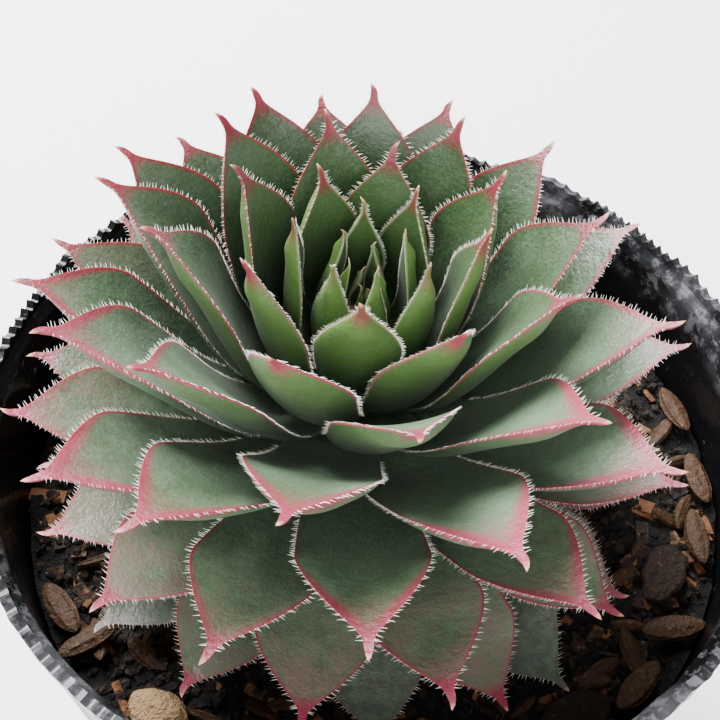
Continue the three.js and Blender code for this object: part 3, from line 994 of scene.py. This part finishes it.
@dataclass
class Soil:
    """The bark and peat bed with its crumbs and shards."""

    pot: Pot
    top: float = 60.8
    dish: float = 0.8
    lump: float = 0.75
    relief: float = 0.45
    settled: float = 0.35
    gap: float = 0.3
    rings: int = 110
    sides: int = 320
    litter_depth: tuple = (4, 3.9)
    litter_edge: tuple = (41.85, 41.75)
    litter_start: tuple = (11.9, 12)

    def height(self, x: float, y: float) -> float:
        """Height of the soil's large lumps at a place."""
        lumps = math.sin(0.53 * x + 1.3) * math.cos(0.47 * y - 0.4)
        lumps += 0.6 * math.sin(1.13 * x - 0.7 * y) + 0.5 * math.cos(0.31 * x + 1.21 * y + 2)
        away = math.hypot(x, y) / self.pot.rim_radius
        return self.top - self.dish * (1 - away * away) + self.lump / 2 * lumps

    def rough(self, x: float, y: float) -> float:
        """Height of the soil with its fine relief, set down so that most of it stays under the lumps."""
        spot = Vector((x, y, 0))
        relief = noise.noise(spot * 0.9) + 0.6 * noise.noise(spot * 2.1) + 0.4 * noise.noise(spot * 4.3)
        return self.height(x, y) + self.relief * relief - self.settled

    def bed(self) -> bpy.types.Mesh:
        """The bed as a closed mesh."""
        pot = self.pot
        edge = pot.rim_radius - pot.lip_step - pot.wall - self.gap
        side = [(pot.base_radius - pot.wall - self.gap, pot.floor + self.gap),
                (edge - pot.collar_step, pot.collar_base - 1), (edge, pot.collar_base + 0.4)]
        top = [(edge * i / self.rings, self.top) for i in range(self.rings, 0, -1)]
        rings = turned(side + top, self.sides)
        for ring in rings[len(side):]:
            for point in ring:
                point[2] = self.rough(point[0], point[1])
        return closed_skin("soil_bed", rings, (0, 0, pot.floor + self.gap), (0, 0, self.rough(0, 0)), 80)

    def litter_tree(self, grains: Grains) -> Grower:
        """The group that strews one kind of grain over the bed's top, clear of the stem and the wall."""
        tree = Grower(grains.name)
        density = tree.size("Density")
        size = tree.size("Size")
        spot = tree.place()
        flat = tree.vector("MULTIPLY", spot, (1, 1, 0))
        height = spot.parts()[2] * MM_IN_METRE
        away = flat.dot(flat).func("SQRT") * MM_IN_METRE
        inside = height.between(*(self.top - depth for depth in self.litter_depth), smooth=False)
        inside = inside * away.between(*self.litter_edge, smooth=False)
        inside = inside * away.between(*self.litter_start, smooth=False)
        strewn = tree.first("GeometryNodeDistributePointsOnFaces", {
            "Mesh": tree.points, "Density": density * inside, "Seed": grains.seed},
            distribute_method="RANDOM")
        grain = tree.first(grains.shape, grains.shape_sizes)
        spin = tree.random(grains.turn_low, grains.turn_high, 2)
        scale = Arrow(tree, tree.random((0.25, 0.25, 0.2), (1, 1, 0.8), 3)) * size
        points = tree.keep(strewn, "chance", tree.chance(0, 1, 9))
        copies = tree.first("GeometryNodeInstanceOnPoints", {
            "Points": points, "Instance": grain, "Rotation": spin, "Scale": scale})
        tree.close(copies, grains.finish.build(), smooth=False)
        return tree

    def build(self) -> None:
        """Makes the bed and what lies loose in it, and ties them to its solid."""
        bed = self.bed()
        attach(add_piece("soil_bed", bed, SOIL.build()), Finish.SOIL, "soil")
        for grains in (CRUMBS, SHARDS):
            sizes = {"Density": grains.density, "Size": grains.size * MM}
            attach(grow(grains.name, bed.copy(), self.litter_tree(grains), sizes), grains.slot, "soil")


@dataclass(frozen=True)
class Spot:
    """Where a loose piece lies on the soil: azimuth and spin in degrees, radius in millimetres."""

    azimuth: float
    radius: float
    spin: float

    def lay(self, rings: np.ndarray, low: float) -> np.ndarray:
        """Turns points made about the origin by the spin and puts them here, with their lowest at low."""
        spin = math.radians(self.spin)
        turn = np.array([[math.cos(spin), math.sin(spin), 0],
                         [-math.sin(spin), math.cos(spin), 0], [0, 0, 1]])
        azimuth = math.radians(self.azimuth)
        moved = rings @ turn
        right = self.radius * math.cos(azimuth)
        ahead = self.radius * math.sin(azimuth)
        moved += (right, ahead, low - moved[..., 2].min())
        return moved


@dataclass
class Litter:
    """The larger loose pieces on the soil: rice husks, bark chips and one stone."""

    soil: Soil
    husk_length: float = 7.4
    husk_width: float = 2.7
    husk_depth: float = 1.4
    chip_length: float = 9
    chip_width: float = 5.6
    chip_thickness: float = 1.3
    chip_corners: int = 7
    chip_side_steps: int = 8
    pebble_length: float = 7
    pebble: Spot = Spot(-124, 39.6, -30)
    husks: tuple = (
        Spot(-33, 40.2, 8), Spot(-15, 40.3, 88), Spot(-45, 40.3, 44), Spot(-3, 40.9, 95),
        Spot(-149, 40.8, -50), Spot(-142, 39.6, 34), Spot(12, 41, 105), Spot(64, 40.6, 160),
        Spot(118, 41, 20), Spot(171, 40.8, 80),
    )
    chips: tuple = (
        Spot(-24, 37.2, 66), Spot(-57, 38.8, 33), Spot(-73, 39.6, 15),
        Spot(38, 39.5, 130), Spot(92, 39.6, 5), Spot(146, 39.5, 50),
    )
    scraps: int = 60
    scrap_ring: tuple = (29, 41)

    def husk(self, seed: float, size: float = 1) -> tuple[np.ndarray, tuple, tuple]:
        """A husk about the origin: a slender ribbed boat, pointed at both ends."""
        share = np.linspace(-0.485, 0.485, 23)[:, None]
        turn = np.arange(24)[None, :] / 24 * 2 * math.pi
        swell = (1 - (2 * share) ** 2) ** 0.62
        rib = 1 + 0.09 * np.cos(7 * turn + seed) + 0.03 * np.sin(9 * share + seed)
        x = share * self.husk_length + 0 * turn
        y = self.husk_width / 2 * swell * rib * np.cos(turn)
        z = self.husk_depth / 2 * swell * rib * np.sin(turn) + 1.1 * share ** 2
        end = self.husk_length / 2
        return np.stack([x, y, z], axis=-1) * size, (-end * size, 0, 0.3 * size), (end * size, 0, 0.3 * size)

    def chip(self, index: int) -> np.ndarray:
        """A flake of bark about the origin, with the uneven outline of its solid and layered edges."""
        count = self.chip_corners
        corners = np.arange(count + 1)
        reach = np.array([0.42 + 0.16 * draw(index * count + j % count, 5) for j in corners.tolist()])
        angle = corners / count * 2 * math.pi
        steps = np.arange(count * self.chip_side_steps) / self.chip_side_steps
        outline = np.column_stack([np.interp(steps, corners, self.chip_length * reach * np.cos(angle)),
                                   np.interp(steps, corners, self.chip_width * reach * np.sin(angle))])
        levels = [(0.45, 0), (0.86, 0.02), (0.96, 0.25), (0.9, 0.35), (1, 0.5), (0.95, 0.7), (0.97, 0.8),
                  (0.84, 1), (0.66, 1.04), (0.48, 1), (0.3, 1.03), (0.14, 1)]
        rings = np.array([np.column_stack([outline * scale, np.full(len(steps), rise * self.chip_thickness)])
                          for scale, rise in levels])
        for point in rings.reshape(-1, 3):
            spot = Vector(point.tolist()) + Vector((0, 0, index * 9.0))
            broad = 0.16 * np.array(noise.noise_vector(spot * 0.8))
            point += broad + 0.07 * np.array(noise.noise_vector(spot * 3))
        return rings

    def stone(self) -> np.ndarray:
        """The pebble about the origin, pitted."""
        rise = np.linspace(-math.pi / 2, math.pi / 2, 42)[1:-1, None]
        turn = np.arange(64)[None, :] / 64 * 2 * math.pi
        ball = np.stack([np.cos(rise) * np.cos(turn), np.cos(rise) * np.sin(turn), np.sin(rise) + 0 * turn],
                        axis=-1)
        ball *= self.pebble_length / 2
        for point in ball.reshape(-1, 3):
            spot = Vector(point.tolist())
            dent = 1 + 0.05 * math.sin(0.9 * spot.x + 0.5) + 0.05 * math.cos(1.1 * spot.y - 0.6 * spot.z)
            point *= dent + 0.05 * noise.noise(spot * 0.8) + 0.025 * noise.noise(spot * 3.5)
        return ball * (1, 0.72, 0.5)

    def scrap(self, k: int) -> bpy.types.Mesh:
        """A smaller husk, tipped and half sunk in the soil between the others."""
        rings, first, last = self.husk(k + 20, 0.45 + 0.5 * draw(k, 21))
        tip = 0.9 * (draw(k, 22) - 0.5)
        roll = 2.4 * (draw(k, 23) - 0.5)
        tilt = Matrix.Rotation(tip, 3, "Y") @ Matrix.Rotation(roll, 3, "X")
        points = np.concatenate([rings.reshape(-1, 3), [first, last]]) @ np.array(tilt)
        low, high = self.scrap_ring
        spot = Spot(137.5 * k + 40 * draw(k, 24), low + (high - low) * draw(k, 25) ** 0.7, 360 * draw(k, 26))
        azimuth = math.radians(spot.azimuth)
        ground = self.soil.height(spot.radius * math.cos(azimuth), spot.radius * math.sin(azimuth))
        points = spot.lay(points, ground - 0.5 - 0.5 * draw(k, 27))
        return closed_skin(f"scrap_{k}", points[:-2].reshape(rings.shape), points[-2], points[-1])

    @staticmethod
    def poles(rings: np.ndarray) -> tuple[tuple, tuple]:
        """Poles in the middle of the first and the last ring."""
        return tuple(rings[0].mean(axis=0)), tuple(rings[-1].mean(axis=0))

    def build(self) -> None:
        """Makes each piece where its solid lies, and scraps of husk between them."""
        husk_paint = HUSK.build()
        bark_paint = BARK.build()
        for i, spot in enumerate(self.husks, 1):
            name = f"rice_hull_{i}"
            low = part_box(name)[0][2] / MM
            rings, first, last = self.husk(i)
            placed = spot.lay(np.concatenate([rings.reshape(-1, 3), [first, last]]), low)
            mesh = closed_skin(name + "_look", placed[:-2].reshape(rings.shape), placed[-2], placed[-1])
            attach(add_piece(name + "_look", mesh, husk_paint), Finish.HUSK, name)
        for i, spot in enumerate(self.chips):
            name = f"bark_chip_{i + 1}"
            rings = spot.lay(self.chip(i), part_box(name)[0][2] / MM)
            mesh = closed_skin(name + "_look", rings, *self.poles(rings))
            attach(add_piece(name + "_look", mesh, bark_paint), Finish.BARK, name)
        scraps = joined("husk_scraps", [self.scrap(k) for k in range(self.scraps)])
        attach(add_piece("husk_scraps", scraps, husk_paint), Finish.HUSK)
        rings = self.pebble.lay(self.stone(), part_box("pebble")[0][2] / MM)
        mesh = closed_skin("pebble_look", rings, *self.poles(rings))
        attach(add_piece("pebble_look", mesh, STONE.build()), Finish.PEBBLE, "pebble")


@dataclass
class Rosette:
    """The plant: leaves in three ages, the crown they grow from, and the hairs of their margins."""

    growth: Growth = field(default_factory=Growth)
    blade: BladeShape = field(default_factory=BladeShape)
    along: int = 64
    around: int = 36
    root_depth: float = 0.08
    crowding: float = 0.85
    closed_share: float = 0.02
    weld: float = 1e-6
    ages: tuple = (("leaves_heart", 0, 26), ("leaves_middle", 26, 58), ("leaves_outer", 58, 90))
    hairy: tuple = (("hairs_inner", 5, 45), ("hairs_outer", 45, 90))
    hair_length: float = 0.58
    hair_radius: float = 0.04
    hairs_each_side: int = 78
    hairs_from: float = 0.2
    hairs_over: float = 0.74
    stem_foot: float = 28.9
    crown_sides: int = 64
    crown_step: int = 5

    def leaf_points(self, name: str, first: int, last: int) -> bpy.types.Mesh:
        """One loose vertex for each leaf from first up to last, carrying all that shapes it."""
        leaves = [Leaf(self.growth, n) for n in range(first, last)]
        numbers = {
            "width": [leaf.width for leaf in leaves],
            "thickness": [leaf.thickness for leaf in leaves],
            "taper": [leaf.taper for leaf in leaves],
            "age": [leaf.n / self.growth.leaves for leaf in leaves],
            "luck": [draw(leaf.n, 4) for leaf in leaves],
            "hook": [1.2 * (draw(leaf.n, 5) - 0.5) for leaf in leaves],
        }
        arrows = {key: [getattr(leaf, key) for leaf in leaves]
                  for key in ("root", "root_pull", "tip_pull", "tip", "sideways")}
        return point_mesh(name, [(0, 0, 0)] * len(leaves), numbers, arrows)

    def blade_tree(self, material: bpy.types.Material) -> Grower:
        """The group that grows a leaf's skin on each point."""
        tree = Grower("leaf_blades")
        along = tree.size("Along", "NodeSocketInt")
        around = tree.size("Around", "NodeSocketInt")
        depth = tree.size("Root Depth")
        grid = tree.first("GeometryNodeMeshGrid", {
            "Size X": 1.0, "Size Y": 1.0, "Vertices X": along, "Vertices Y": around})
        share, turn, _ = tree.place().parts()
        share = share + 0.5
        turn = (turn + 0.5) * (2 * math.pi)
        blank = tree.keep(grid, "t", share ** self.crowding * (1.0 + depth) - depth)
        closing = share.between(0.0, self.closed_share, smooth=False)
        blank = tree.keep(blank, "u", turn.func("COSINE") * closing)
        blank = tree.keep(blank, "under", (-turn.func("SINE")).most(0.0) ** self.blade.keel)
        copies = tree.first("GeometryNodeInstanceOnPoints", {"Points": tree.points, "Instance": blank})
        real = tree.first("GeometryNodeRealizeInstances", {0: copies})
        u = tree.named("u")
        skin = self.blade.lay(tree, tree.named("t"), u, tree.named("under"))
        inset = (1.0 - u.func("ABSOLUTE")) * skin.half
        edged = tree.keep(real, "margin", (inset * inset + skin.sunk * skin.sunk).func("SQRT"))
        edged = tree.keep(edged, "left", (1.0 - tree.named("t")) / tree.named("taper"))
        shaped = tree.first("GeometryNodeSetPosition", {"Geometry": edged, "Position": skin.place})
        closed = tree.first("GeometryNodeMergeByDistance", {"Geometry": shaped, "Distance": self.weld})
        tree.close(closed, material, smooth=True)
        return tree

    def hair_tree(self, material: bpy.types.Material) -> Grower:
        """The group that grows hairs on both margins of the leaf at each point."""
        tree = Grower("margin_hairs")
        count = tree.size("Each Side", "NodeSocketInt")
        length = tree.size("Length")
        radius = tree.size("Radius")
        rows = tree.first("GeometryNodeMeshGrid", {
            "Size X": 1.0, "Size Y": 2.0, "Vertices X": count, "Vertices Y": 2})
        share, u, _ = tree.place().parts()
        blank = tree.keep(rows, "t", self.hairs_from + self.hairs_over * (share + 0.5))
        blank = tree.keep(blank, "u", u)
        blank = tree.first("GeometryNodeMeshToPoints", {"Mesh": blank})
        copies = tree.first("GeometryNodeInstanceOnPoints", {"Points": tree.points, "Instance": blank})
        real = tree.first("GeometryNodeRealizeInstances", {0: copies})
        side_share = tree.named("u")
        t = tree.named("t") + tree.chance(-0.006, 0.006, 3)
        skin = self.blade.lay(tree, t, side_share, 0.0)
        lean = skin.side * side_share + skin.along * tree.chance(0.1, 0.7, 4)
        lean = lean + skin.face * tree.chance(-0.1, 0.5, 5)
        real = tree.keep(real, "lean", lean.unit())
        rooted = tree.first("GeometryNodeSetPosition", {"Geometry": real, "Position": skin.place})
        cone = tree.first("GeometryNodeMeshCone", {
            "Vertices": 3, "Side Segments": 2, "Radius Top": radius * 0.15, "Radius Bottom": radius,
            "Depth": length}, fill_type="NONE")
        scale = tree.named("width") / self.blade.full_width * tree.chance(0.6, 1.15, 6)
        turn = tree.first("FunctionNodeAlignRotationToVector", {"Vector": tree.arrow("lean")}, axis="Z")
        hairs = tree.first("GeometryNodeInstanceOnPoints", {
            "Points": rooted, "Instance": cone, "Rotation": turn, "Scale": scale})
        tree.close(hairs, material, smooth=True)
        return tree

    def crown(self) -> bpy.types.Mesh:
        """The short stem and the crown, as a closed mesh."""
        growth = self.growth
        last = growth.crown_point(growth.leaves)[1]
        profile = [(growth.stem_radius, -self.stem_foot), (growth.stem_radius, last - 2)]
        profile += [(radius + 0.3, height) for radius, height in
                    (growth.crown_point(n) for n in range(growth.leaves, -1, -self.crown_step))]
        rings = turned(profile, self.crown_sides)
        leaned = np.array([[tuple(growth.lean(*point)) for point in ring] for ring in rings.tolist()])
        poles = [tuple(growth.lean(0, 0, height)) for height in (-self.stem_foot, growth.crown_top + 0.5)]
        return closed_skin("crown", leaned, *poles)

    def build(self) -> None:
        """Makes the leaves, their hairs and the crown, and ties them to the plant's solid."""
        skin = LeafFinish().build()
        hair_sizes = {"Each Side": self.hairs_each_side, "Length": self.hair_length * MM,
                      "Radius": self.hair_radius * MM}
        leaf_sizes = {"Along": self.along, "Around": self.around + 1, "Root Depth": self.root_depth}
        pieces = []
        for ages, tree, sizes in ((self.ages, self.blade_tree(skin), leaf_sizes),
                                  (self.hairy, self.hair_tree(HairFinish().build()), hair_sizes)):
            for name, first, last in ages:
                pieces.append(grow(name, self.leaf_points(name, first, last), tree, sizes))
        pieces.append(add_piece("crown", self.crown(), skin))
        for piece in pieces:
            attach(piece, Finish.LEAF, "rosette")


def attach(piece: bpy.types.Object, finish: Finish, *nodes: str) -> None:
    """Ties a piece to the part's body, and hides the solids that it stands for."""
    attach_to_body(piece, BODY)
    if nodes:
        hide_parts(*nodes)
    log.info("%s: %d faces", piece.name, len(piece.data.polygons))


@dataclass(frozen=True)
class Lamp:
    """A square soft light, with its place and size in metres."""

    name: str
    place: tuple
    size: float
    power: float

    def build(self, aim: Vector) -> None:
        """Adds the light, turned to the aim."""
        data = bpy.data.lights.new(self.name, "AREA")
        data.size = self.size
        data.energy = self.power
        lamp = link(self.name, data)
        lamp.location = self.place
        lamp.rotation_euler = (aim - Vector(self.place)).to_track_quat("-Z", "Y").to_euler()


@dataclass
class Studio:
    """Camera, soft lights and a pale floor."""

    rim_height: float = 78
    elevation: float = 49.76
    distance: float = 104.57
    aim_x: float = -1.92
    aim_y: float = 2.96
    roll: float = 1.0
    lens: float = 45
    sensor: float = 36
    nearest: float = 0.005
    lamps: tuple = (Lamp("window", (-0.3, 0.5, 0.72), 0.6, 44), Lamp("fill", (-0.1, -0.72, 0.5), 0.9, 15))
    sky: float = 0.6
    floor_half: float = 3
    floor_tone: float = 0.94

    def camera(self) -> None:
        """Puts the camera where the picture was taken, aimed at a point on the pot's rim plane."""
        tilt = math.radians(self.elevation)
        forward = Vector((0, math.cos(tilt), -math.sin(tilt)))
        right = Vector((1, 0, 0))
        up = right.cross(forward)
        roll = math.radians(self.roll)
        turned_right = math.cos(roll) * right + math.sin(roll) * up
        turned_up = math.cos(roll) * up - math.sin(roll) * right
        place = Vector((self.aim_x, self.aim_y, self.rim_height)) - forward * self.distance
        data = bpy.data.cameras.new("camera")
        data.lens = self.lens
        data.sensor_width = self.sensor
        data.clip_start = self.nearest
        seen = link("camera", data)
        basis = Matrix((turned_right, turned_up, -forward)).transposed()
        seen.matrix_world = Matrix.Translation(place * MM) @ basis.to_4x4()
        bpy.context.scene.camera = seen

    def build(self) -> None:
        """Makes the camera, the lights and the floor."""
        self.camera()
        for lamp in self.lamps:
            lamp.build(Vector((0, 0, self.rim_height * MM)))
        world = bpy.data.worlds.new("studio")
        world.use_nodes = True
        sky = world.node_tree.nodes["Background"]
        sky.inputs["Color"].default_value = (1, 1, 1, 1)
        sky.inputs["Strength"].default_value = self.sky
        bpy.context.scene.world = world
        half = self.floor_half
        mesh = bpy.data.meshes.new("floor")
        corners = [(-half, -half, 0), (half, -half, 0), (half, half, 0), (-half, half, 0)]
        mesh.from_pydata(corners, [], [(0, 1, 2, 3)])
        paint = Paint("floor_paper", 0.9)
        paint.colour((self.floor_tone, self.floor_tone, self.floor_tone, 1))
        mesh.materials.append(paint.material)
        floor = link("floor", mesh)


def main() -> None:
    """Builds the studio and every sub-assembly."""
    logging.basicConfig(level=logging.INFO, format="%(message)s")
    Studio().build()
    Rosette().build()
    pot = Pot()
    pot.build()
    soil = Soil(pot)
    soil.build()
    Litter(soil).build()


if __name__ == "__main__":
    main()
